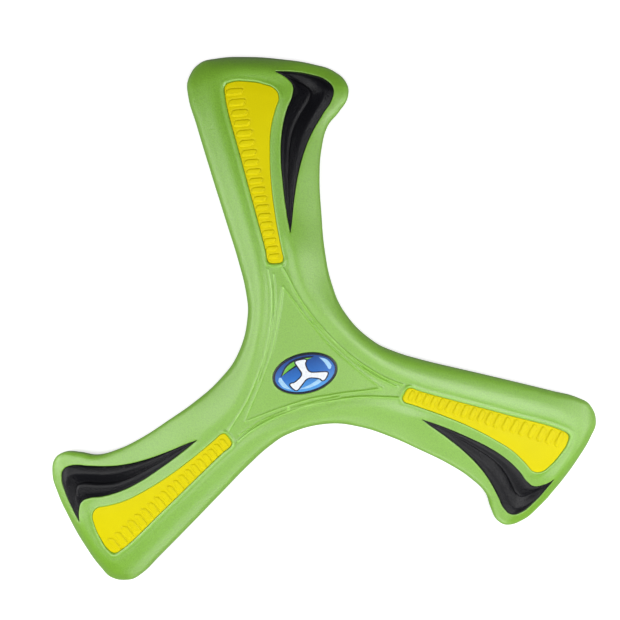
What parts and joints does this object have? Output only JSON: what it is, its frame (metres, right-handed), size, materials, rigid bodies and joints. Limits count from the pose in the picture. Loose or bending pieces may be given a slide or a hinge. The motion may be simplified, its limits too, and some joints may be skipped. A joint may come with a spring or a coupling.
{
  "type": "three-blade foam boomerang",
  "caption": "Soft foam boomerang with flared, hooked blades, smooth inlaid wing plates, ribbed dark swoosh pads and an oval centre badge.",
  "frame": {"origin": "centre of the three-fold rotation, on the flat underside", "axes": "+Z out of the decorated face, +Y out along blade 1"},
  "size_m": [0.2849, 0.2691, 0.012],
  "materials": {
    "green_foam": "matte closed-cell foam with a fine pebbled skin",
    "yellow_plate": "smooth satin sheet with low raised bars",
    "black_foam": "matte closed-cell foam, fluted",
    "badge_print": null
  },
  "bodies": {
    "root": {"foam_body": "green_foam", "wing_plate_1": "yellow_plate", "wing_plate_2": "yellow_plate", "wing_plate_3": "yellow_plate", "swoosh_pad_1": "black_foam", "swoosh_pad_2": "black_foam", "swoosh_pad_3": "black_foam", "centre_badge": "badge_print"}
  },
  "joints": []
}
